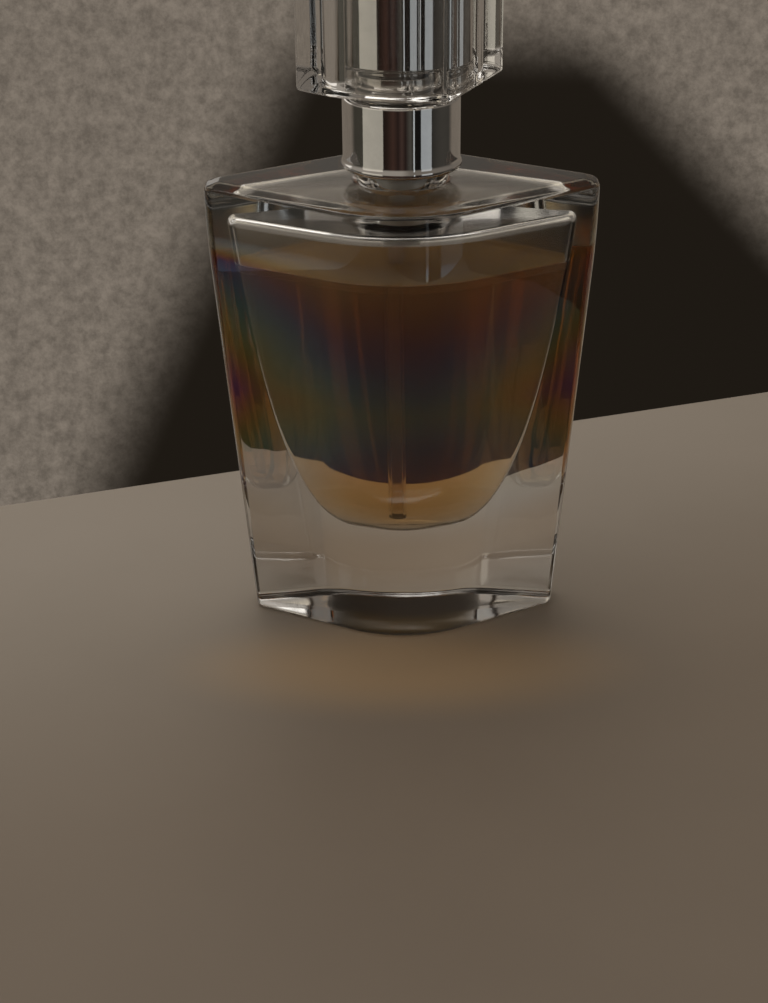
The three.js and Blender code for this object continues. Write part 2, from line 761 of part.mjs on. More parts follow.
const fixedPump = groupOf(
  piece("dip_tube", dipTube(), naturalPlastic),
  piece("pump_housing", pumpHousing(), naturalPlastic),
  piece("neck_gasket", neckGasket(), rubber),
  piece("stem_gasket", stemGasket(), rubber),
  piece("stem_guide", stemGuide(), whitePlastic),
  piece("crimp_ferrule", crimpFerrule(), aluminium),
  piece("collar_insert", collarInsert(), whitePlastic),
  piece("chrome_collar", chromeCollar(), chrome),
  piece("check_ball", checkBall(), steel),
);

const plunger = groupOf(
  piece("pump_stem", pumpStem(), whitePlastic),
  piece("pump_piston", pumpPiston(), naturalPlastic),
  piece("valve_core", valveCore(), whitePlastic),
  piece("pump_spring", pumpSpring(), steel),
);

const sprayHead = groupOf(
  piece("spray_head_shell", headShell(), chrome),
  piece("spray_head_core", headCore(), whitePlastic),
  piece("spray_nozzle", sprayNozzle(), whitePlastic),
);

const cap = groupOf(
  piece("cap_shell", capShell(), acrylic),
  piece("cap_liner", capLiner(), chrome),
  piece("cap_insert", capInsert(), naturalPlastic),
);
cap.rotation.z = THREE.MathUtils.degToRad(CAP_TURN);

export default groupOf(flaskAndLiquid, fixedPump, plunger, sprayHead, cap);
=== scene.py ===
import math

import bmesh
import bpy
from mathutils import Matrix, Vector


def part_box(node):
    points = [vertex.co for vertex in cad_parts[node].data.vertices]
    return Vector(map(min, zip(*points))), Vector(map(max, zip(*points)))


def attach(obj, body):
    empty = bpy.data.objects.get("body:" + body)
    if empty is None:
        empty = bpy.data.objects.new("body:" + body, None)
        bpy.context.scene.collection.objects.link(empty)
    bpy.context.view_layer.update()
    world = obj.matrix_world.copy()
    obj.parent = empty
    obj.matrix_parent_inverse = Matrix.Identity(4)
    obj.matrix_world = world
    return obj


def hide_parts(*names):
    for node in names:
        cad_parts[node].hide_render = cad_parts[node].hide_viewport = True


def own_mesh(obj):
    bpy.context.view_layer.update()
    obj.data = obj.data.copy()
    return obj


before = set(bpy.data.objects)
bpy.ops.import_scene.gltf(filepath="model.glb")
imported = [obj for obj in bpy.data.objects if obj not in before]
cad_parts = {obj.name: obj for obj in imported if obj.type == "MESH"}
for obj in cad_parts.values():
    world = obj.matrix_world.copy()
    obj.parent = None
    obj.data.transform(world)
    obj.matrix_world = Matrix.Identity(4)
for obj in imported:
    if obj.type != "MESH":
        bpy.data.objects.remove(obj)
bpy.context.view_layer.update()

MM = 0.001  # shapes below are drawn in millimetres and stored in metres
TURN = 2 * math.pi
RIGHT_ANGLE = math.pi / 2


# ---------- measures taken from the frame ----------

def corners(node):
    """Lowest and highest corner of a CAD node, in millimetres."""
    low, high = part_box(node)
    return Vector(low) / MM, Vector(high) / MM


FLASK_LOW, FLASK_HIGH = corners("glass_flask")
LIQUID_LOW, LIQUID_HIGH = corners("perfume_liquid")
TUBE_LOW, TUBE_HIGH = corners("dip_tube")
COLLAR_LOW, COLLAR_HIGH = corners("chrome_collar")
HEAD_LOW, HEAD_HIGH = corners("spray_head_shell")
NOZZLE_LOW, NOZZLE_HIGH = corners("spray_nozzle")
CAP_LOW, CAP_HIGH = corners("cap_shell")
LINER_LOW, LINER_HIGH = corners("cap_liner")
INSERT_LOW, INSERT_HIGH = corners("cap_insert")
HOUSING_LOW, HOUSING_HIGH = corners("pump_housing")
FERRULE_LOW, FERRULE_HIGH = corners("crimp_ferrule")
SPRING_LOW, SPRING_HIGH = corners("pump_spring")
LIQUID_TOP = LIQUID_HIGH.z
NECK_RISE = 8.5  # the neck's rim stands this far above the flat top
FLASK_TOP = FLASK_HIGH.z - NECK_RISE


# ---------- mesh building ----------

def arc(centre, radius, start, end, steps):
    """Points along a circular arc, both ends included."""
    angles = [start + (end - start) * k / steps for k in range(steps + 1)]
    return [
        Vector((centre[0] + radius * math.cos(a), centre[1] + radius * math.sin(a)))
        for a in angles
    ]


def rounded(outline, radius, steps=5):
    """A closed outline with every corner replaced by an arc of at most this radius."""
    result = []
    count = len(outline)
    for k in range(count):
        before = Vector(outline[k - 1])
        here = Vector(outline[k])
        after = Vector(outline[(k + 1) % count])
        back = before - here
        onward = after - here
        half_angle = back.angle(onward) / 2
        room = min(back.length, onward.length) * 0.48
        reach = min(radius / math.tan(half_angle), room)
        if half_angle > math.radians(88):
            result.append(here)
            continue
        start = here + back.normalized() * reach
        end = here + onward.normalized() * reach
        for i in range(steps + 1):
            t = i / steps
            result.append(start * (1 - t) ** 2 + here * 2 * t * (1 - t) + end * t ** 2)
    return result


def finish_mesh(name, mesh_data, body, node, material):
    """Turns a bmesh in millimetres into a smooth piece that rides on its body."""
    bmesh.ops.remove_doubles(mesh_data, verts=mesh_data.verts, dist=1e-5)
    bmesh.ops.recalc_face_normals(mesh_data, faces=mesh_data.faces)
    bmesh.ops.scale(mesh_data, vec=(MM, MM, MM), verts=mesh_data.verts)
    mesh = bpy.data.meshes.new(name)
    mesh_data.to_mesh(mesh)
    mesh_data.free()
    mesh.shade_smooth()
    piece = bpy.data.objects.new(name, mesh)
    bpy.context.scene.collection.objects.link(piece)
    mesh.materials.append(material)
    weighted = piece.modifiers.new("even_normals", "WEIGHTED_NORMAL")
    weighted.keep_sharp = True
    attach(piece, body)
    if node:
        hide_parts(node)
    return piece


def skin(rings, start=None, end=None):
    """A surface through closed rings of equal point count; start and end close it to a point."""
    mesh_data = bmesh.new()
    loops = [[mesh_data.verts.new(point) for point in ring] for ring in rings]
    count = len(loops[0])
    for lower, upper in zip(loops, loops[1:]):
        for k in range(count):
            n = (k + 1) % count
            mesh_data.faces.new((lower[k], lower[n], upper[n], upper[k]))
    for tip, loop in ((start, loops[0]), (end, loops[-1])):
        if tip is not None:
            centre = mesh_data.verts.new(tip)
            for k in range(count):
                mesh_data.faces.new((centre, loop[k], loop[(k + 1) % count]))
    return mesh_data


def lathe(profile, steps=96):
    """A solid of revolution about Z from a closed outline of (radius, height) points."""
    mesh_data = bmesh.new()
    loops = []
    for k in range(steps):
        angle = TURN * k / steps
        loops.append(
            [mesh_data.verts.new((r * math.cos(angle), r * math.sin(angle), z)) for r, z in profile]
        )
    count = len(profile)
    for k in range(steps):
        here = loops[k]
        after = loops[(k + 1) % steps]
        for i in range(count):
            n = (i + 1) % count
            on_axis = (profile[i][0] < 1e-9, profile[n][0] < 1e-9)
            if all(on_axis):
                continue
            if on_axis[0]:
                mesh_data.faces.new((here[i], after[n], here[n]))
            elif on_axis[1]:
                mesh_data.faces.new((here[i], after[i], here[n]))
            else:
                mesh_data.faces.new((here[i], after[i], after[n], here[n]))
    return mesh_data


def ring_at(outline, z):
    return [Vector((point[0], point[1], z)) for point in outline]


def circle(radius, count):
    """A circle whose points follow the quarters of a plan with this many points."""
    return [
        Vector((radius * math.cos(TURN * k / count), radius * math.sin(TURN * k / count)))
        for k in range(count)
    ]


def mirrored_plan(quarter):
    """Closes a quarter outline, which runs from the +X side to the +Y side, to a full one."""
    left = [Vector((-p.x, p.y)) for p in reversed(quarter[:-1])]
    back = quarter + left
    front = [Vector((-p.x, -p.y)) for p in back]
    return back + front


def line(start, end, steps):
    """Points strictly between two ends."""
    return [start.lerp(end, k / (steps + 1)) for k in range(1, steps + 1)]


# ---------- nodes ----------

def new_material(name):
    material = bpy.data.materials.new(name)
    material.use_nodes = True
    return material, material.node_tree.nodes, material.node_tree.links


def principled(nodes):
    return nodes["Principled BSDF"]


def object_coords(nodes, links, scale):
    """Object coordinates in metres, times a scale, as a vector output."""
    coords = nodes.new("ShaderNodeTexCoord")
    mapping = nodes.new("ShaderNodeMapping")
    mapping.inputs["Scale"].default_value = scale
    links.new(coords.outputs["Object"], mapping.inputs["Vector"])
    return mapping.outputs["Vector"]


def object_parts(nodes, links):
    """The X, Y and Z outputs of the object coordinates, in metres."""
    coords = nodes.new("ShaderNodeTexCoord")
    parts = nodes.new("ShaderNodeSeparateXYZ")
    links.new(coords.outputs["Object"], parts.inputs["Vector"])
    return parts.outputs


def noise(nodes, links, vector, scale, detail=3.0, roughness=0.5):
    texture = nodes.new("ShaderNodeTexNoise")
    texture.inputs["Scale"].default_value = scale
    texture.inputs["Detail"].default_value = detail
    texture.inputs["Roughness"].default_value = roughness
    links.new(vector, texture.inputs["Vector"])
    return texture.outputs["Fac"]


def ramp(nodes, links, value, stops):
    """A colour ramp through (position, colour) stops."""
    node = nodes.new("ShaderNodeValToRGB")
    elements = node.color_ramp.elements
    while len(elements) < len(stops):
        elements.new(0.5)
    for element, (position, colour) in zip(elements, stops):
        element.position = position
        element.color = (*colour, 1.0)
    links.new(value, node.inputs["Fac"])
    return node.outputs["Color"]


def remap(nodes, links, value, low, high):
    """A 0 to 1 value moved to the range low to high."""
    node = nodes.new("ShaderNodeMapRange")
    node.inputs["To Min"].default_value = low
    node.inputs["To Max"].default_value = high
    links.new(value, node.inputs["Value"])
    return node.outputs["Result"]


def bump(nodes, links, height, strength, distance):
    node = nodes.new("ShaderNodeBump")
    node.inputs["Strength"].default_value = strength
    node.inputs["Distance"].default_value = distance
    links.new(height, node.inputs["Height"])
    return node.outputs["Normal"]


def smooth_step(nodes, links, value, low, high):
    """0 below low, 1 above high, eased in between."""
    node = nodes.new("ShaderNodeMapRange")
    node.interpolation_type = "SMOOTHSTEP"
    node.inputs["From Min"].default_value = low
    node.inputs["From Max"].default_value = high
    links.new(value, node.inputs["Value"])
    return node.outputs["Result"]


def blend_colours(nodes, links, share, first, second):
    """A colour between two, each a fixed colour or another node's output."""
    node = nodes.new("ShaderNodeMix")
    node.data_type = "RGBA"
    links.new(share, node.inputs["Factor"])
    for socket, colour in (("A", first), ("B", second)):
        target = [entry for entry in node.inputs if entry.name == socket and entry.type == "RGBA"][0]
        if isinstance(colour, tuple):
            target.default_value = (*colour, 1.0)
        else:
            links.new(colour, target)
    return [entry for entry in node.outputs if entry.type == "RGBA"][0]


def math_node(nodes, links, operation, *values):
    """An arithmetic node; each value is a number or another node's output."""
    node = nodes.new("ShaderNodeMath")
    node.operation = operation
    for socket, value in zip(node.inputs, values):
        if isinstance(value, (int, float)):
            socket.default_value = value
        else:
            links.new(value, socket)
    return node.outputs["Value"]


def along(nodes, links, vector, direction):
    """How far a vector reaches in a direction."""
    node = nodes.new("ShaderNodeVectorMath")
    node.operation = "DOT_PRODUCT"
    node.inputs[1].default_value = direction
    links.new(vector, node.inputs[0])
    return node.outputs["Value"]


# ---------- materials ----------

GLASS_INDEX = 1.5
PERFUME_INDEX = 1.36
PERFUME_COLOUR = (0.9, 0.66, 0.2, 1)
PERFUME_DENSITY = 155

RIPPLE_START = 0.022  # the glass is wavier below this height, in metres
RIPPLE_FULL = 0.004
RIPPLE_GAIN = 4

FILM_INDEX = 1.8
FILM_SCALE = 300  # nanometres at full white in the ramp of the profile
FILM_PROFILE = [(0.17, 0), (0.4, 165), (0.55, 215), (0.84, 110), (0.9, 0)]  # share of height, nm
FILM_REACH = 0.02  # this far from the middle the film is thicker by the gain
FILM_GAIN = 0.3


def glass_material(name, haze, ripple, with_film=False, tint=(0.985, 0.99, 0.985)):
    """Flint glass with faint waviness. With a film it shows rainbow colours, as on the front wall."""
    material, nodes, links = new_material(name)
    shader = principled(nodes)
    shader.inputs["Base Color"].default_value = (*tint, 1)
    shader.inputs["Transmission Weight"].default_value = 1.0
    shader.inputs["IOR"].default_value = GLASS_INDEX
    coords = object_coords(nodes, links, (1, 1, 1))
    smudge = noise(nodes, links, coords, scale=60, detail=4.0, roughness=0.6)
    links.new(remap(nodes, links, smudge, haze * 0.3, haze), shader.inputs["Roughness"])
    waves = noise(nodes, links, object_coords(nodes, links, (0.5, 1, 1)), scale=70, detail=2.0)
    links.new(bump(nodes, links, waves, ripple, 0.0004), shader.inputs["Normal"])
    if with_film:
        add_film(nodes, links, shader)
        low = smooth_step(nodes, links, object_parts(nodes, links)["Z"], RIPPLE_START, RIPPLE_FULL)
        strength = remap(nodes, links, low, ripple, ripple * RIPPLE_GAIN)
        links.new(strength, nodes["Bump"].inputs["Strength"])
    return material


def add_film(nodes, links, shader):
    """A clear film whose thickness varies with height and grows towards both ends."""
    shader.inputs["Thin Film IOR"].default_value = FILM_INDEX
    parts = object_parts(nodes, links)
    height = math_node(nodes, links, "DIVIDE", parts["Z"], FLASK_TOP * MM)
    stops = [(share, (nanometres / FILM_SCALE,) * 3) for share, nanometres in FILM_PROFILE]
    profile = ramp(nodes, links, height, stops)
    middle = math_node(nodes, links, "MULTIPLY", profile, FILM_SCALE)
    aside = math_node(nodes, links, "MULTIPLY", parts["X"], 1 / FILM_REACH)
    square = math_node(nodes, links, "MULTIPLY", aside, aside)
    ends = math_node(nodes, links, "MULTIPLY_ADD", square, FILM_GAIN, 1.0)
    drift = noise(nodes, links, object_coords(nodes, links, (1, 1, 1)), scale=55, detail=2.0)
    varied = math_node(nodes, links, "MULTIPLY", ends, remap(nodes, links, drift, 0.85, 1.15))
    thickness = math_node(nodes, links, "MULTIPLY", middle, varied)
    links.new(thickness, shader.inputs["Thin Film Thickness"])


def liquid_material(name, tint, clarity, gloss=0.5):
    """Amber perfume: its depth is coloured by absorption, and its surface by the tint too."""
    material, nodes, links = new_material(name)
    shader = principled(nodes)
    shader.inputs["Base Color"].default_value = (*tint, 1)
    shader.inputs["Transmission Weight"].default_value = clarity
    shader.inputs["Roughness"].default_value = 0.0
    shader.inputs["Specular IOR Level"].default_value = gloss
    shader.inputs["IOR"].default_value = PERFUME_INDEX
    absorption = nodes.new("ShaderNodeVolumeAbsorption")
    absorption.inputs["Color"].default_value = PERFUME_COLOUR
    absorption.inputs["Density"].default_value = PERFUME_DENSITY
    links.new(absorption.outputs["Volume"], nodes["Material Output"].inputs["Volume"])
    return material


def acrylic_material():
    """Clear polished acrylic with faint smudges and waves."""
    material, nodes, links = new_material("clear_acrylic")
    shader = principled(nodes)
    shader.inputs["Base Color"].default_value = (0.985, 0.98, 0.97, 1)
    shader.inputs["Transmission Weight"].default_value = 1.0
    shader.inputs["IOR"].default_value = 1.49
    coords = object_coords(nodes, links, (1, 1, 1))
    smudge = noise(nodes, links, coords, scale=90, detail=4.0, roughness=0.6)
    links.new(remap(nodes, links, smudge, 0.0, 0.05), shader.inputs["Roughness"])
    waves = noise(nodes, links, coords, scale=110, detail=2.0)
    links.new(bump(nodes, links, waves, 0.15, 0.0003), shader.inputs["Normal"])
    return material


def metal_material(name, tint, roughness, spread, streaks):
    """Bright metal with a soft film of handling marks, streaked along Z when asked."""
    material, nodes, links = new_material(name)
    shader = principled(nodes)
    shader.inputs["Metallic"].default_value = 1.0
    coords = object_coords(nodes, links, (1, 1, 0.15 if streaks else 1))
    marks = noise(nodes, links, coords, scale=350, detail=5.0, roughness=0.65)
    dark = tuple(channel * 0.9 for channel in tint)
    links.new(ramp(nodes, links, marks, [(0.3, dark), (0.7, tint)]), shader.inputs["Base Color"])
    links.new(remap(nodes, links, marks, roughness, roughness + spread), shader.inputs["Roughness"])
    links.new(bump(nodes, links, marks, 0.03, 0.00005), shader.inputs["Normal"])
    return material


def plastic_material(name, tint, roughness, translucency, index=1.49):
    """Moulded plastic with a little milkiness and fine orange peel."""
    material, nodes, links = new_material(name)
    shader = principled(nodes)
    coords = object_coords(nodes, links, (1, 1, 1))
    cloud = noise(nodes, links, coords, scale=220)
    dark = tuple(channel * 0.93 for channel in tint)
    links.new(ramp(nodes, links, cloud, [(0.35, dark), (0.65, tint)]), shader.inputs["Base Color"])
    links.new(remap(nodes, links, cloud, roughness - 0.06, roughness + 0.06), shader.inputs["Roughness"])
    shader.inputs["Transmission Weight"].default_value = translucency
    shader.inputs["IOR"].default_value = index
    peel = noise(nodes, links, coords, scale=1800, detail=2.0)
    links.new(bump(nodes, links, peel, 0.08, 0.00005), shader.inputs["Normal"])
    return material


def rubber_material():
    """Matt black seal rubber."""
    material, nodes, links = new_material("seal_rubber")
    shader = principled(nodes)
    coords = object_coords(nodes, links, (1, 1, 1))
    grain = noise(nodes, links, coords, scale=900, detail=4.0, roughness=0.6)
    colours = [(0.3, (0.012, 0.012, 0.013)), (0.7, (0.03, 0.03, 0.032))]
    links.new(ramp(nodes, links, grain, colours), shader.inputs["Base Color"])
    links.new(remap(nodes, links, grain, 0.55, 0.8), shader.inputs["Roughness"])
    links.new(bump(nodes, links, grain, 0.2, 0.0001), shader.inputs["Normal"])
    return material


GLASS = glass_material("flint_glass", 0.02, 0.15)
GLASS_WALL = glass_material("flint_glass_wall", 0.02, 0.12, with_film=True)
GLASS_INNER = glass_material("flint_glass_inside", 0.05, 0.25)
# The base's amber tint is painted light: it stands for light tinted by the amber liquid, seen through
# the base.
GLASS_BASE = glass_material("flint_glass_base", 0.14, 0.9, tint=(1, 0.88, 0.68))
GLASS_CEILING = glass_material("flint_glass_ceiling", 0.3, 0.9)
PERFUME = liquid_material("amber_perfume", (1, 0.98, 0.95), 1.0)
PERFUME_TOP = liquid_material("perfume_surface", (0.36, 0.19, 0.045), 0.25, gloss=0.0)
ACRYLIC = acrylic_material()
CHROME = metal_material("bright_chrome", (0.88, 0.87, 0.86), 0.02, 0.05, False)
ALUMINIUM = metal_material("ferrule_aluminium", (0.72, 0.72, 0.73), 0.22, 0.1, True)
STEEL = metal_material("spring_steel", (0.6, 0.6, 0.61), 0.2, 0.12, True)
NATURAL = plastic_material("natural_plastic", (0.85, 0.84, 0.8), 0.3, 0.55)
CLEAR_PLASTIC = plastic_material("frosted_plastic", (0.9, 0.88, 0.85), 0.12, 0.95, 1.3)
WHITE = plastic_material("white_plastic", (0.86, 0.86, 0.84), 0.3, 0.0)
TUBE_PLASTIC = plastic_material("tube_plastic", (0.95, 0.9, 0.86), 0.12, 0.92, 1.12)
RUBBER = rubber_material()


# ---------- flask ----------

SHOULDER = FLASK_TOP - 1.5
TUCK_START = 58  # above this height the walls draw in a little towards the rim
SOFTENING = 0.5
RIM_RADIUS = 0.7
RIM_RISE = 0.55
RIM_WIDTH = 2.1
BASE_EDGE = 0.9
PUNT_DEPTH = 0.35  # the base is very slightly hollow
PUNT_MARGIN = 1.2
PUNT_RINGS = 15
SHARPEST_CORNER = 0.4

SHOULDER_PLAN = {
    "half_length": FLASK_HIGH.x + SOFTENING,
    "half_depth": FLASK_HIGH.y + SOFTENING,
    "end_half_width": 3.0,
    "belly_radius": 18.0,
    "corner_radius": 3.5,
}
BASE_PLAN = {
    "half_length": SHOULDER_PLAN["half_length"] * 0.8,
    "half_depth": SHOULDER_PLAN["half_depth"] * 0.716,
    "end_half_width": 3.0,
    "belly_radius": 18.0,
    "corner_radius": 1.6,
}
CAVITY_FLOOR = LIQUID_LOW.z - 0.3
CAVITY_CEILING = FLASK_TOP - 5
CAVITY_ROUND = 1.6
CAVITY_POWER = 0.3
CAVITY = {
    "half_length": SHOULDER_PLAN["half_length"] - 4.85,
    "half_depth": SHOULDER_PLAN["half_depth"] - 7.2,
    "end_half_width": 1.7,
    "belly_radius": 24.0,
    "corner_radius": 2.0,
}
NECK_TOP = FLASK_HIGH.z
NECK_BORE = 4.6

CORNER_STEPS = 8
WING_STEPS = 10
BELLY_STEPS = 14


def flask_plan(plan, inset=0.0):
    """Belly arcs at front and back, straight wings tangent to them, flat ends."""
    length = plan["half_length"]
    end_width = plan["end_half_width"]
    belly_radius = plan["belly_radius"]
    corner_radius = max(plan["corner_radius"] - inset, SHARPEST_CORNER)
    centre_y = plan["half_depth"] - belly_radius
    reach = math.hypot(length, end_width - centre_y)
    wing = math.atan2(end_width - centre_y, length) + math.acos(belly_radius / reach)
    corner = (
        length - inset - corner_radius,
        end_width - (inset + corner_radius) * math.tan(wing / 2),
    )
    end_arc = arc(corner, corner_radius, 0, wing, CORNER_STEPS)
    belly = arc((0, centre_y), belly_radius - inset, wing, RIGHT_ANGLE, BELLY_STEPS)
    return mirrored_plan(end_arc + line(end_arc[-1], belly[0], WING_STEPS) + belly)


PLAN_COUNT = len(flask_plan(SHOULDER_PLAN))


def outer_ring(z, inset):
    """The outside at a height: the plan grows evenly from the base to the shoulder."""
    share = z / SHOULDER
    plan = {
        key: BASE_PLAN[key] + (SHOULDER_PLAN[key] - BASE_PLAN[key]) * share for key in BASE_PLAN
    }
    return ring_at(flask_plan(plan, inset), z)


def quarter_round(radius, steps):
    """(rise, inset) pairs from a wall over its rounded edge."""
    return [(p.y, radius - p.x) for p in arc((0, 0), radius, 0, RIGHT_ANGLE, steps)]


def wall_rings():
    """From the hollow of the base out over its edge and up the outside to the flat top."""
    rim_top = FLASK_TOP - RIM_RISE
    rim_bottom = rim_top - RIM_RADIUS
    foot = outer_ring(0, BASE_EDGE + PUNT_MARGIN)
    rings = []
    for k in range(1, PUNT_RINGS + 1):
        share = k / PUNT_RINGS
        rise = PUNT_DEPTH * (1 - share ** 2) ** 2
        rings.append([Vector((p.x * share, p.y * share, rise)) for p in foot])
    rings.append(outer_ring(0, BASE_EDGE + 0.3))
    for rise, inset in reversed(quarter_round(BASE_EDGE, 6)):
        rings.append(outer_ring(BASE_EDGE - rise, inset))
    for k in range(1, 6):
        rings.append(outer_ring(BASE_EDGE + (TUCK_START - BASE_EDGE) * k / 6, 0))
    for k in range(9):
        share = k / 9
        z = TUCK_START + (rim_bottom - TUCK_START) * share
        rings.append(outer_ring(z, SOFTENING * share ** 2))
    for rise, inset in quarter_round(RIM_RADIUS, 6):
        rings.append(outer_ring(rim_bottom + rise, SOFTENING + inset))
    for k in range(1, 7):
        share = k / 6
        rise = RIM_RISE * math.sin(share * RIGHT_ANGLE)
        rings.append(outer_ring(rim_top + rise, SOFTENING + RIM_RADIUS + RIM_WIDTH * share))
    rings.append(outer_ring(FLASK_TOP, SOFTENING + RIM_RADIUS + RIM_WIDTH + 0.4))
    return rings


def neck_rings():
    """From the neck's root up over the bead and down the bore to the cavity's ceiling."""
    flare = 1.4
    profile = [
        (7.7, FLASK_TOP),
        (7.2, FLASK_TOP + 0.1),
        (6.85, FLASK_TOP + 0.35),
        (6.65, FLASK_TOP + 0.8),
        (6.6, FLASK_TOP + 1.5),
        (6.6, NECK_TOP - 3.6),
        (7.3, NECK_TOP - 3.1),
        (7.5, NECK_TOP - 2.6),
        (7.5, NECK_TOP - 0.8),
        (7.2, NECK_TOP - 0.2),
        (6.7, NECK_TOP),
        (5.2, NECK_TOP),
        (4.75, NECK_TOP - 0.15),
        (NECK_BORE, NECK_TOP - 0.6),
        (NECK_BORE, CAVITY_CEILING + flare + 1),
        (NECK_BORE + 0.1, CAVITY_CEILING + flare),
        (NECK_BORE + 0.5, CAVITY_CEILING + flare * 0.45),
        (NECK_BORE + flare, CAVITY_CEILING + 0.05),
    ]
    return [ring_at(circle(radius, PLAN_COUNT), z) for radius, z in profile]


def cavity_ring(z, grow=0.0):
    """The cavity at a height: a U that is rounded into the ceiling at its top."""
    share = (z - CAVITY_FLOOR + grow) / (CAVITY_CEILING - CAVITY_FLOOR)
    scale = min(share, 1.0) ** CAVITY_POWER
    plan = {key: size * scale for key, size in CAVITY.items()}
    into_round = max(z + CAVITY_ROUND - CAVITY_CEILING, 0)
    inset = CAVITY_ROUND - math.sqrt(max(CAVITY_ROUND ** 2 - into_round ** 2, 0))
    return ring_at(flask_plan(plan, inset - grow), z)


def cavity_heights(top, steps):
    """Heights from just above the floor to the top, crowded where the U turns fastest."""
    return [CAVITY_FLOOR + (top - CAVITY_FLOOR) * ((k + 1) / steps) ** 3 for k in range(steps)]


FLASK_FINISHES = [GLASS, GLASS_WALL, GLASS_INNER, GLASS_BASE, GLASS_CEILING]
CEILING_START = LIQUID_TOP + 0.6


def flask_finish(face):
    """The glass finish of one face, by its height and the way it looks."""
    height = face.center.z / MM
    outward = face.normal.xy.dot(face.center.xy)
    if height < PUNT_DEPTH * 1.1 and face.normal.z < -0.5:
        return GLASS_BASE
    if height >= SHOULDER:
        return GLASS
    if outward < 0.3 * face.center.xy.length:
        return GLASS_INNER if height < CEILING_START else GLASS_CEILING
    return GLASS_WALL if face.center.y < 0 else GLASS


def make_flask():
    """Outside, neck and cavity in one skin, with a finish for each stretch of the glass."""
    ceiling = [
        cavity_ring(CAVITY_CEILING - CAVITY_ROUND * (1 - math.sin(k / 6 * RIGHT_ANGLE)))
        for k in range(6, 0, -1)
    ]
    walls = [cavity_ring(z) for z in reversed(cavity_heights(CAVITY_CEILING - CAVITY_ROUND, 40))]
    rings = wall_rings() + neck_rings() + ceiling + walls
    mesh_data = skin(rings, start=(0, 0, PUNT_DEPTH), end=(0, 0, CAVITY_FLOOR))
    piece = finish_mesh("flask", mesh_data, "bottle", "glass_flask", GLASS)
    for material in FLASK_FINISHES[1:]:
        piece.data.materials.append(material)
    for face in piece.data.polygons:
        face.material_index = FLASK_FINISHES.index(flask_finish(face))
    return piece


def make_liquid():
    """The liquid reaches a hair into the glass, and climbs the wall in a small meniscus."""
    grow = 0.03
    climb = 0.5
    climb_width = 1.8
    climb_curve = 2.2
    rings = [cavity_ring(z, grow) for z in cavity_heights(LIQUID_TOP, 40)]
    last = LIQUID_TOP + climb
    rings.append(cavity_ring(LIQUID_TOP + climb * 0.5, grow))
    rings.append(cavity_ring(last, grow))
    for k in range(1, 9):
        share = k / 8
        z = last - climb * (1 - (1 - share) ** climb_curve)
        rings.append(ring_at(cavity_ring(LIQUID_TOP, grow - climb_width * share), z))
    mesh_data = skin(rings, start=(0, 0, CAVITY_FLOOR - grow), end=(0, 0, LIQUID_TOP))
    piece = finish_mesh("perfume", mesh_data, "bottle", "perfume_liquid", PERFUME)
    piece.data.materials.append(PERFUME_TOP)
    for face in piece.data.polygons:
        on_surface = face.center.z > (LIQUID_TOP - 0.2) * MM and face.normal.z > 0.3
        face.material_index = 1 if on_surface else 0
    return piece


# ---------- dip tube ----------

def make_dip_tube():
    """A slightly bowed tube with a real bore, cut square at its foot."""
    radius = 1.0
    bore = 0.62
    bow = -1.0
    bow_end = 0.3  # share of the length over which the tube bends aside
    straightening = 0.35
    top = TUBE_HIGH.z
    bottom = TUBE_LOW.z
    steps = 48
    sides = 32
    rings = []
    for wall_radius, order in ((radius, range(steps + 1)), (bore, range(steps, -1, -1))):
        for k in order:
            share = k / steps
            z = top + (bottom - top) * share
            bend = math.sin(min(share / bow_end, 1) * RIGHT_ANGLE)
            aside = bow * bend * (1 - straightening * share)
            rings.append([Vector((p.x + aside, p.y, z)) for p in circle(wall_radius, sides)])
    rings.append(rings[0])
    mesh_data = skin(rings)
    return finish_mesh("dip_tube_fine", mesh_data, "bottle", "dip_tube", TUBE_PLASTIC)


# ---------- pump and collar ----------

def make_housing():
    """Pump body with a ball seat, a spring ledge and a flange that sits on the neck."""
    bore = 3.2
    ledge = HOUSING_LOW.z + 7.3
    flange = HOUSING_HIGH.z - 4.4
    body = 3.9
    bottom = HOUSING_LOW.z + 4.5
    profile = [
        (1.05, HOUSING_LOW.z),
        (2.0, HOUSING_LOW.z),
        (2.1, HOUSING_LOW.z + 2.6),
        (2.6, bottom - 0.9),
        (body - 0.4, bottom),
        (body, bottom + 0.6),
        (body, flange),
        (HOUSING_HIGH.x, flange),
        (HOUSING_HIGH.x, flange + 1),
        (4.2, flange + 1),
        (4.2, HOUSING_HIGH.z),
        (bore, HOUSING_HIGH.z),
        (bore, ledge),
        (0.8, ledge),
        (0.8, ledge - 0.4),
        (1.25, ledge - 0.4),
        (1.25, ledge - 2.35),
        (0.6, ledge - 3),
        (0.6, TUBE_HIGH.z + 0.3),
        (1.05, TUBE_HIGH.z + 0.3),
    ]
    mesh_data = lathe(rounded(profile, 0.15, 3), 64)
    return finish_mesh("pump_body", mesh_data, "bottle", "pump_housing", NATURAL)


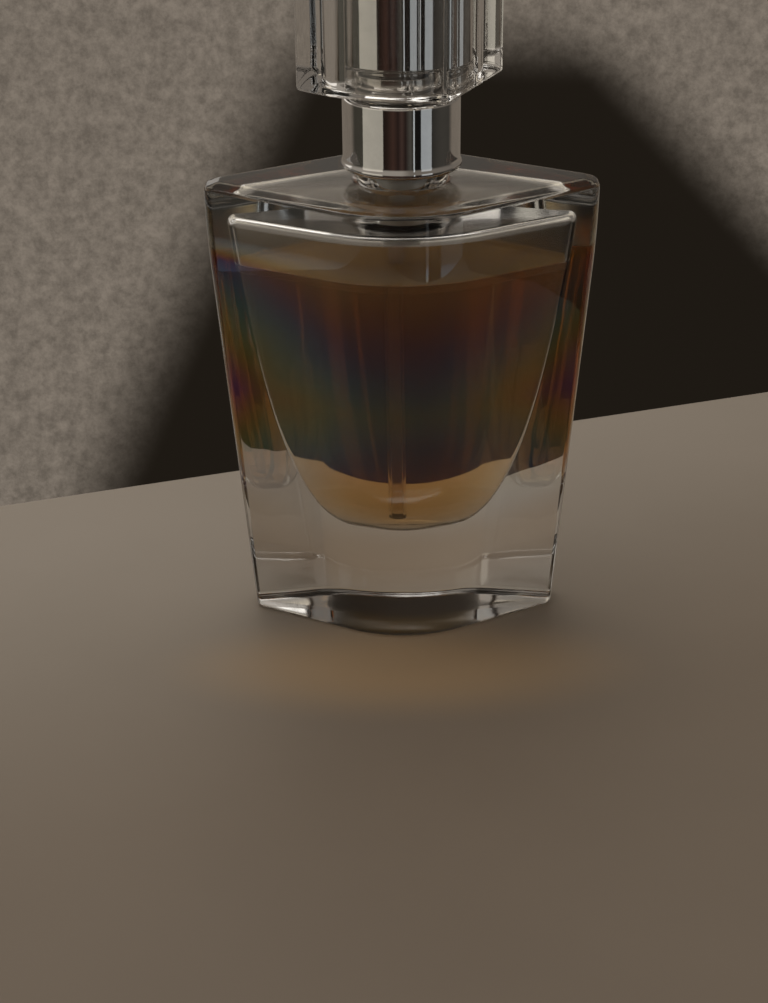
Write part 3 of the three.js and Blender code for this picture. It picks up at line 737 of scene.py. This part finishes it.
def make_ferrule():
    """Aluminium cup with a turret for the stem, crimped in under the neck's bead."""
    sheet = 0.4
    outer = FERRULE_HIGH.x
    disc = FERRULE_HIGH.z - 5.1
    turret = 4.9
    crimp = FERRULE_LOW.z
    profile = [
        (7.1, crimp),
        (7.6, crimp + 0.15),
        (outer, crimp + 0.75),
        (outer, disc),
        (turret, disc),
        (turret, FERRULE_HIGH.z),
        (2.0, FERRULE_HIGH.z),
        (2.0, FERRULE_HIGH.z - sheet),
        (turret - sheet, FERRULE_HIGH.z - sheet),
        (turret - sheet, disc - sheet),
        (outer - sheet, disc - sheet),
        (outer - sheet, crimp + 0.95),
        (7.3, crimp + 0.5),
        (6.95, crimp + 0.35),
    ]
    mesh_data = lathe(rounded(profile, 0.3, 4), 96)
    return finish_mesh("ferrule", mesh_data, "bottle", "crimp_ferrule", ALUMINIUM)


def make_collar():
    """Mirror-bright cover with a rolled foot bead and a stepped top."""
    foot = COLLAR_LOW.z
    wide = COLLAR_HIGH.x
    wall = wide - 0.25
    inner = 8.35
    upstand_top = COLLAR_HIGH.z
    shoulder = upstand_top - 4
    bead = [(inner + 0.1, foot + 0.3), (inner + 0.25, foot + 0.05)]
    bead += arc((wide - 0.7, foot + 0.72), 0.7, -RIGHT_ANGLE * 0.9, RIGHT_ANGLE * 0.45, 10)
    neck = [(wall, foot + 1.75), (wall, shoulder - 0.7)]
    edge = arc((wall - 0.7, shoulder - 0.7), 0.7, 0, RIGHT_ANGLE, 7)
    step = [(7.25, shoulder), (7.05, shoulder + 0.05), (7.0, shoulder + 0.25)]
    lip = [
        (7.0, upstand_top - 0.25),
        (6.92, upstand_top - 0.06),
        (6.75, upstand_top),
        (6.58, upstand_top - 0.06),
        (6.5, upstand_top - 0.25),
        (6.5, shoulder - 0.5),
        (inner, shoulder - 0.5),
    ]
    mesh_data = lathe([*bead, *neck, *edge, *step, *lip], 128)
    return finish_mesh("collar", mesh_data, "bottle", "chrome_collar", CHROME)


# ---------- spray head ----------

def cut_with(piece, cutter):
    """Boolean cut applied to the piece's mesh; the cutter is removed."""
    modifier = piece.modifiers.new("window", "BOOLEAN")
    modifier.operation = "DIFFERENCE"
    modifier.object = cutter
    modifier.solver = "EXACT"
    graph = bpy.context.evaluated_depsgraph_get()
    evaluated = piece.evaluated_get(graph)
    mesh = bpy.data.meshes.new_from_object(evaluated)
    piece.modifiers.remove(modifier)
    old = piece.data
    piece.data = mesh
    bpy.data.meshes.remove(old)
    bpy.data.objects.remove(cutter)
    piece.data.shade_smooth()
    piece.data.set_sharp_from_angle(angle=math.radians(35))


def nozzle_cutter(radius, near, far):
    """A cylinder along -Y at the nozzle's height, between two distances from the axis."""
    mesh_data = bmesh.new()
    centre = (NOZZLE_LOW.z + NOZZLE_HIGH.z) / 2
    place = Matrix.Translation((0, -(near + far) / 2, centre)) @ Matrix.Rotation(RIGHT_ANGLE, 4, "X")
    bmesh.ops.create_cone(
        mesh_data,
        cap_ends=True,
        segments=48,
        radius1=radius,
        radius2=radius,
        depth=far - near,
        matrix=place,
    )
    bmesh.ops.scale(mesh_data, vec=(MM, MM, MM), verts=mesh_data.verts)
    mesh = bpy.data.meshes.new("cutter")
    mesh_data.to_mesh(mesh)
    mesh_data.free()
    cutter = bpy.data.objects.new("cutter", mesh)
    bpy.context.scene.collection.objects.link(cutter)
    return cutter


def dish_drop(share):
    """How far the finger dish lies below the head's top, at a share of its radius."""
    depth = 0.5
    rim_share = 0.87
    return depth * (1 - (share / rim_share) ** 2)


def make_head_shell():
    """Metal thimble with a finger dish, a fine groove round its foot and a nozzle window."""
    sheet = 0.3
    outer = HEAD_HIGH.x
    inner = outer - sheet
    top = HEAD_HIGH.z
    bottom = HEAD_LOW.z
    edge = arc((outer - 0.8, top - 0.8), 0.8, 0, RIGHT_ANGLE, 8)
    dish = [(outer * share, dish_drop(share)) for share in (0.7, 0.5, 0.3, 0.12, 0)]
    under_dish = [(outer * share, dish_drop(share) + sheet) for share in (0, 0.3, 0.6)]
    profile = [
        (inner, bottom + 0.05),
        (outer - 0.08, bottom),
        (outer, bottom + 0.1),
        (outer, bottom + 0.9),
        (outer - 0.1, bottom + 1.0),
        (outer - 0.1, bottom + 1.15),
        (outer, bottom + 1.25),
        *edge,
        *[(radius, top - drop) for radius, drop in dish + under_dish],
        (inner, top - 1.1),
    ]
    mesh_data = lathe(profile, 128)
    piece = finish_mesh(
        "head_shell", mesh_data, "spray_head", "spray_head_shell", CHROME
    )
    cut_with(piece, nozzle_cutter(2.25, 3.0, 7.5))
    return piece


def make_nozzle():
    """Insert with a funnel mouth and a pin-hole orifice, laid along -Y."""
    back = -NOZZLE_HIGH.y
    face = -NOZZLE_LOW.y
    centre = (NOZZLE_LOW.z + NOZZLE_HIGH.z) / 2
    profile = [
        (0.18, back),
        (2.1, back),
        (2.1, face),
        (1.55, face),
        (1.35, face - 0.18),
        (0.9, face - 0.18),
        (0.5, face - 0.55),
        (0.18, face - 0.9),
    ]
    mesh_data = lathe(rounded(profile, 0.1, 3), 64)
    bmesh.ops.rotate(mesh_data, verts=mesh_data.verts, matrix=Matrix.Rotation(RIGHT_ANGLE, 3, "X"))
    bmesh.ops.translate(mesh_data, verts=mesh_data.verts, vec=(0, 0, centre))
    return finish_mesh("nozzle", mesh_data, "spray_head", "spray_nozzle", WHITE)


# ---------- cap ----------

CAP_TURN = math.radians(-23)
CAP_HALF_WIDTH = 12.0
CAP_HALF_DEPTH = 11.1
CAP_BULGE = 2.7
CAP_EDGE = 0.7
CAP_CORNER = 1.0
CAP_FACE_STEPS = 20


def cap_plan(inset):
    """Flat sides, bulged front and back, rounded corners."""
    face_radius = (CAP_HALF_WIDTH ** 2 + CAP_BULGE ** 2) / (2 * CAP_BULGE)
    centre_y = CAP_HALF_DEPTH + CAP_BULGE - face_radius
    corner_x = CAP_HALF_WIDTH - CAP_CORNER
    lift = math.sqrt((face_radius - CAP_CORNER) ** 2 - corner_x ** 2)
    turn = math.atan2(lift, corner_x)
    corner = arc((corner_x, centre_y + lift), CAP_CORNER - inset, 0, turn, 8)
    face = arc((0, centre_y), face_radius - inset, turn, RIGHT_ANGLE, CAP_FACE_STEPS)
    return mirrored_plan(corner + face[1:])


def cap_ring(z, inset):
    return ring_at(cap_plan(inset), z)


def turned(mesh_data):
    bmesh.ops.rotate(mesh_data, verts=mesh_data.verts, matrix=Matrix.Rotation(CAP_TURN, 3, "Z"))
    return mesh_data


def make_cap_shell():
    """Clear block with a blind bore; drawn from the bore's roof, out at the mouth and over."""
    bottom = CAP_LOW.z
    top = CAP_HIGH.z
    bore = 9.2
    roof = LINER_HIGH.z + 0.3
    count = len(cap_plan(0))
    bore_profile = [
        (bore - 1, roof),
        (bore - 0.3, roof - 0.05),
        (bore, roof - 0.4),
        (bore, roof - 1),
        (bore, bottom + 1.2),
        (bore, bottom + 0.5),
        (bore + 0.1, bottom + 0.2),
        (bore + 0.4, bottom),
    ]
    rings = [ring_at(circle(r, count), z) for r, z in bore_profile]
    rings.append(cap_ring(bottom, CAP_EDGE + 0.15))
    for rise, inset in reversed(quarter_round(CAP_EDGE, 6)):
        rings.append(cap_ring(bottom + CAP_EDGE - rise, inset))
    rings.append(cap_ring(bottom + CAP_EDGE + 0.2, 0))
    rings.append(cap_ring(top - CAP_EDGE - 0.2, 0))
    for rise, inset in quarter_round(CAP_EDGE, 6):
        rings.append(cap_ring(top - CAP_EDGE + rise, inset))
    rings.append(ring_at([p * 0.9 for p in cap_plan(CAP_EDGE)], top))
    mesh_data = skin(rings, start=(0, 0, roof), end=(0, 0, top))
    return finish_mesh("cap_block", turned(mesh_data), "cap", "cap_shell", ACRYLIC)


def make_cap_liner():
    """Bright sheet metal cup, open below."""
    outer = 9.05
    sheet = 0.4
    top = LINER_HIGH.z
    bottom = LINER_LOW.z
    profile = [
        (outer - sheet, bottom + 0.1),
        (outer - 0.2, bottom),
        (outer, bottom + 0.12),
        (outer, top - 0.5),
        (outer - 0.15, top - 0.15),
        (outer - 0.5, top),
        (0, top),
        (0, top - sheet),
        (outer - 1, top - sheet),
        (outer - sheet, top - 1),
    ]
    mesh_data = lathe(profile, 128)
    return finish_mesh("liner", turned(mesh_data), "cap", "cap_liner", CHROME)


def make_cap_insert():
    """Clear plastic sleeve with a flange in the block's mouth and a lip that rests on the collar."""
    bottom = INSERT_LOW.z
    mouth = CAP_LOW.z
    flange_top = LINER_LOW.z - 0.3
    top = INSERT_HIGH.z
    profile = [
        (7.2, bottom),
        (8.2, bottom),
        (8.2, mouth),
        (9.0, mouth + 0.2),
        (9.0, flange_top),
        (8.4, flange_top),
        (8.4, top),
        (7.2, top),
    ]
    mesh_data = lathe(rounded(profile, 0.2, 4), 128)
    return finish_mesh("insert", turned(mesh_data), "cap", "cap_insert", CLEAR_PLASTIC)


# ---------- pump spring ----------

def make_spring():
    """A wire helix over the spring's full height, at rest."""
    wire = 0.22
    turns = 7
    steps_per_turn = 16
    height = SPRING_HIGH.z - SPRING_LOW.z
    coil = SPRING_HIGH.x - wire
    steps = turns * steps_per_turn
    rings = []
    for k in range(steps + 1):
        angle = TURN * k / steps_per_turn
        outward = Vector((math.cos(angle), math.sin(angle), 0))
        centre = outward * coil
        centre.z = SPRING_LOW.z + wire + (height - 2 * wire) * k / steps
        rings.append([centre + outward * p.x + Vector((0, 0, p.y)) for p in circle(wire, 8)])
    ends = [sum(ring, Vector()) / len(ring) for ring in (rings[0], rings[-1])]
    mesh_data = skin(rings, start=ends[0], end=ends[1])
    piece = finish_mesh("spring", mesh_data, "bottle", "pump_spring", STEEL)
    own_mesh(piece)


# ---------- hidden CAD pieces that keep their shape ----------

def dress_inner_pieces():
    """These stay the CAD's own pieces and only take better materials."""
    looks = {
        "neck_gasket": RUBBER,
        "stem_gasket": RUBBER,
        "stem_guide": WHITE,
        "collar_insert": WHITE,
        "check_ball": STEEL,
        "pump_stem": WHITE,
        "pump_piston": NATURAL,
        "valve_core": WHITE,
        "spray_head_core": WHITE,
    }
    for node, material in looks.items():
        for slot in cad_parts[node].material_slots:
            slot.material = material


# ---------- stage ----------

SLAB_LEFT = -0.17
SLAB_RIGHT = 0.12
SLAB_FRONT = -0.15
SLAB_BACK = 0.06
SLAB_THICKNESS = 0.006
SLAB_GAP = 0.00002
SLAB_TURN = math.radians(19)
FLAG_DISTANCE = 0.056
FLAG_HALF_WIDTH = 0.3
FLAG_BOTTOM = -0.12
FLAG_TOP = 0.06
# Painted shade and light: the tones the card behind the bottle glows with, nearly black at the floor and
# lighter near its top.
PAINTED_SHADE_TONES = [
    (0.15, (0.004, 0.003, 0.003)),
    (0.5, (0.009, 0.005, 0.002)),
    (0.68, (0.022, 0.013, 0.004)),
    (0.82, (0.11, 0.09, 0.07)),
]  # share of the flag's height, from the floor


def stage_piece(name, mesh_data, material):
    """A studio piece that isn't part of the object; its bmesh is in metres."""
    mesh = bpy.data.meshes.new(name)
    mesh_data.to_mesh(mesh)
    mesh_data.free()
    mesh.materials.append(material)
    piece = bpy.data.objects.new(name, mesh)
    bpy.context.scene.collection.objects.link(piece)
    return piece


def floor_patch(nodes, links, coords, offset, scale, strength):
    """A soft elliptical mask on the floor, for painted patches of light and shade tinted by the amber
    liquid.
    """
    place = nodes.new("ShaderNodeMapping")
    place.inputs["Location"].default_value = offset
    place.inputs["Scale"].default_value = scale
    links.new(coords, place.inputs["Vector"])
    reach = nodes.new("ShaderNodeVectorMath")
    reach.operation = "LENGTH"
    links.new(place.outputs["Vector"], reach.inputs[0])
    inside = smooth_step(nodes, links, reach.outputs["Value"], 1.0, 0.2)
    return math_node(nodes, links, "MULTIPLY", inside, strength)


def floor_material():
    """Pale table top with painted shade, a little darker and warmer towards the front, and painted amber
    light and shade patches by the bottle's base.
    """
    material, nodes, links = new_material("pale_floor")
    shader = principled(nodes)
    coords = object_coords(nodes, links, (1, 1, 1))
    cloud = noise(nodes, links, coords, scale=14, detail=4.0, roughness=0.55)
    # Painted shade: the front of the table is darker and warmer than the back, across a diagonal edge.
    near = ramp(nodes, links, cloud, [(0.3, (0.29, 0.235, 0.185)), (0.7, (0.32, 0.26, 0.205))])
    far = ramp(nodes, links, cloud, [(0.3, (0.44, 0.39, 0.335)), (0.7, (0.48, 0.425, 0.37))])
    slant = along(nodes, links, coords, (-0.5, 1.0, 0.0))
    share = smooth_step(nodes, links, slant, -0.06, 0.06)
    tone = blend_colours(nodes, links, share, near, far)
    # Painted light: a bright amber patch on the floor just in front of the base.
    painted_amber_patch = floor_patch(nodes, links, coords, (0, 1.2, 0), (24, 54, 0), 0.55)
    tone = blend_colours(nodes, links, painted_amber_patch, tone, (0.75, 0.5, 0.26))
    # Painted shade: a darker amber patch on the floor just behind the base.
    painted_amber_patch = floor_patch(nodes, links, coords, (0, -1.2, 0), (34, 40, 0), 0.5)
    tone = blend_colours(nodes, links, painted_amber_patch, tone, (0.35, 0.23, 0.13))
    links.new(tone, shader.inputs["Base Color"])
    shader.inputs["Roughness"].default_value = 0.55
    fine = noise(nodes, links, coords, scale=600, roughness=0.6)
    links.new(bump(nodes, links, fine, 0.05, 0.0001), shader.inputs["Normal"])
    return material


def make_floor():
    """A pale slab turned a little, so that its back edge runs behind the bottle."""
    mesh_data = bmesh.new()
    bmesh.ops.create_cube(mesh_data, size=1)
    depth = SLAB_BACK - SLAB_FRONT
    width = SLAB_RIGHT - SLAB_LEFT
    bmesh.ops.scale(mesh_data, vec=(width, depth, SLAB_THICKNESS), verts=mesh_data.verts)
    drop = SLAB_THICKNESS / 2 + SLAB_GAP
    centre = (SLAB_LEFT + width / 2, SLAB_BACK - depth / 2, -drop)
    bmesh.ops.translate(mesh_data, verts=mesh_data.verts, vec=centre)
    bmesh.ops.rotate(mesh_data, verts=mesh_data.verts, matrix=Matrix.Rotation(SLAB_TURN, 3, "Z"))
    bmesh.ops.bevel(mesh_data, geom=mesh_data.edges[:], offset=0.001, segments=3, affect="EDGES")
    return stage_piece("pale_slab", mesh_data, floor_material())


def make_painted_shade_card():
    """A dark card close behind the bottle, seen only through the glass, that glows with painted shade:
    nearly black low down, lighter near its top and darker on its right.
    """
    mesh_data = bmesh.new()
    card = [
        (side * FLAG_HALF_WIDTH, FLAG_DISTANCE, z)
        for side, z in ((-1, FLAG_BOTTOM), (1, FLAG_BOTTOM), (1, FLAG_TOP), (-1, FLAG_TOP))
    ]
    mesh_data.faces.new([mesh_data.verts.new(corner) for corner in card])
    material, nodes, links = new_material("painted_shade_card")
    shader = principled(nodes)
    shader.inputs["Base Color"].default_value = (0, 0, 0, 1)
    parts = object_parts(nodes, links)
    # Painted shade, graded with height.
    height = math_node(nodes, links, "MULTIPLY", parts["Z"], 1 / FLAG_TOP)
    tone = ramp(nodes, links, height, PAINTED_SHADE_TONES)
    # Painted shade: the card is darker to the right of the middle.
    share = smooth_step(nodes, links, parts["X"], 0.0, 0.03)
    dimmed = blend_colours(nodes, links, share, (1, 1, 1), (0.3, 0.3, 0.3))
    graded = nodes.new("ShaderNodeVectorMath")
    graded.operation = "MULTIPLY"
    links.new(tone, graded.inputs[0])
    links.new(dimmed, graded.inputs[1])
    links.new(graded.outputs["Vector"], shader.inputs["Emission Color"])
    shader.inputs["Specular IOR Level"].default_value = 0.0
    shader.inputs["Emission Strength"].default_value = 1.0
    painted_shade_card = stage_piece("painted_shade_card", mesh_data, material)
    painted_shade_card.visible_camera = False
    painted_shade_card.visible_glossy = False
    painted_shade_card.visible_shadow = False
    painted_shade_card.visible_diffuse = False


def soft_light(name, place, target, width, height, brightness, colour):
    """A softbox of the given surface brightness, whatever its size."""
    data = bpy.data.lights.new(name, "AREA")
    data.shape = "RECTANGLE"
    data.size = width
    data.size_y = height
    data.energy = brightness * math.pi * width * height
    data.color = colour
    light = bpy.data.objects.new(name, data)
    light.location = place
    light.rotation_euler = (Vector(target) - Vector(place)).to_track_quat("-Z", "Y").to_euler()
    light.visible_camera = False
    bpy.context.scene.collection.objects.link(light)


def make_lights():
    """Panels behind and above for the glass, and cards in front for the chrome."""
    middle = (0, 0, 0.06)
    level = (0, 0, 0.02)
    soft_light("low_strip", (-0.39, 0.48, 0.19), middle, 0.72, 0.1, 0.6, (1, 0.95, 0.89))
    soft_light("upper_panel", (0, 0.5, 0.37), middle, 0.92, 0.12, 0.6, (1, 0.86, 0.64))
    soft_light("overhead", (-0.1, 0.15, 0.6), middle, 0.5, 0.4, 1.2, (1, 0.96, 0.9))
    soft_light("warm_card", (-0.42, -0.26, -0.02), level, 0.4, 0.5, 0.34, (1, 0.93, 0.78))
    soft_light("cool_card", (0.38, -0.34, -0.02), level, 0.2, 0.5, 0.32, (0.93, 0.98, 1))
    soft_light("cool_strip", (0.19, -0.44, -0.02), level, 0.02, 0.5, 0.5, (0.93, 0.98, 1))


# The top, left and right edges of the shadow on the wall: direction, where it starts, where it is full.
SHADOW_EDGES = [
    ((0, 0, -1), 0.175, 0.225),
    ((1, 0, -0.5), 0.025, 0.085),
    ((-1, 0, -1), 0.06, 0.12),
]

# Tones of the dim room in front of the bottle, from left to right, which the chrome reflects.
FRONT_BANDS = [
    (0.0, (0.05, 0.045, 0.035)),
    (0.16, (0.006, 0.005, 0.004)),
    (0.27, (0.02, 0.012, 0.009)),
    (0.36, (0.045, 0.024, 0.018)),
    (0.44, (0.02, 0.012, 0.01)),
    (0.5, (0.05, 0.03, 0.024)),
    (0.56, (0.018, 0.011, 0.009)),
    (0.64, (0.06, 0.055, 0.046)),
    (0.7, (0.008, 0.007, 0.006)),
    (0.86, (0.006, 0.006, 0.006)),
    (1.0, (0.05, 0.045, 0.038)),
]


def make_world():
    """A dim studio whose back wall is softly lit, with a broad shadow behind the bottle."""
    world = bpy.data.worlds.new("studio")
    bpy.context.scene.world = world
    world.use_nodes = True
    nodes = world.node_tree.nodes
    links = world.node_tree.links
    coords = nodes.new("ShaderNodeTexCoord")
    parts = nodes.new("ShaderNodeSeparateXYZ")
    links.new(coords.outputs["Generated"], parts.inputs["Vector"])
    direction = coords.outputs["Generated"]
    shadow = 1.0
    for edge, low, high in SHADOW_EDGES:
        inside = smooth_step(nodes, links, along(nodes, links, direction, edge), low, high)
        shadow = math_node(nodes, links, "MULTIPLY", inside, shadow)
    mottle = noise(nodes, links, direction, scale=150, detail=5.0, roughness=0.75)
    lit = ramp(nodes, links, mottle, [(0.35, (0.13, 0.109, 0.088)), (0.65, (0.22, 0.185, 0.15))])
    wall = blend_colours(nodes, links, shadow, lit, (0.013, 0.01, 0.007))
    backward = smooth_step(nodes, links, parts.outputs["Y"], 0.2, 0.45)
    across = math_node(nodes, links, "MULTIPLY_ADD", parts.outputs["X"], 0.5, 0.5)
    front = ramp(nodes, links, across, FRONT_BANDS)
    around = blend_colours(nodes, links, backward, front, wall)
    upward = smooth_step(nodes, links, parts.outputs["Z"], -0.17, 0.2)
    rightward = smooth_step(nodes, links, parts.outputs["X"], -0.05, 0.3)
    above = blend_colours(nodes, links, rightward, (0.28, 0.25, 0.215), (0.15, 0.13, 0.11))
    sky = blend_colours(nodes, links, upward, around, above)
    links.new(sky, nodes["Background"].inputs["Color"])


def make_camera():
    """Stands in front of the flask, looking down on it, with a slight roll."""
    eye = Vector((-0.00313, -0.27907, 0.14963))
    pitch = math.radians(25.31)
    roll = math.radians(-0.56)
    data = bpy.data.cameras.new("camera")
    data.sensor_width = 36
    data.lens = 68.2
    data.clip_start = 0.01
    camera = bpy.data.objects.new("camera", data)
    tilt = Matrix.Rotation(RIGHT_ANGLE - pitch, 4, "X")
    camera.matrix_world = Matrix.Translation(eye) @ tilt @ Matrix.Rotation(roll, 4, "Z")
    bpy.context.scene.collection.objects.link(camera)
    bpy.context.scene.camera = camera


LIGHT_BOUNCES = 32  # thick glass in glass needs many


def make_stage():
    make_floor()
    make_painted_shade_card()
    make_lights()
    make_world()
    make_camera()
    bpy.context.scene.view_settings.view_transform = "Standard"
    bpy.context.scene.cycles.max_bounces = LIGHT_BOUNCES
    bpy.context.scene.cycles.transmission_bounces = LIGHT_BOUNCES


# ---------- build ----------

make_flask()
make_liquid()
make_dip_tube()
make_housing()
make_ferrule()
make_collar()
make_head_shell()
make_nozzle()
make_cap_shell()
make_cap_liner()
make_cap_insert()
make_spring()
dress_inner_pieces()
make_stage()
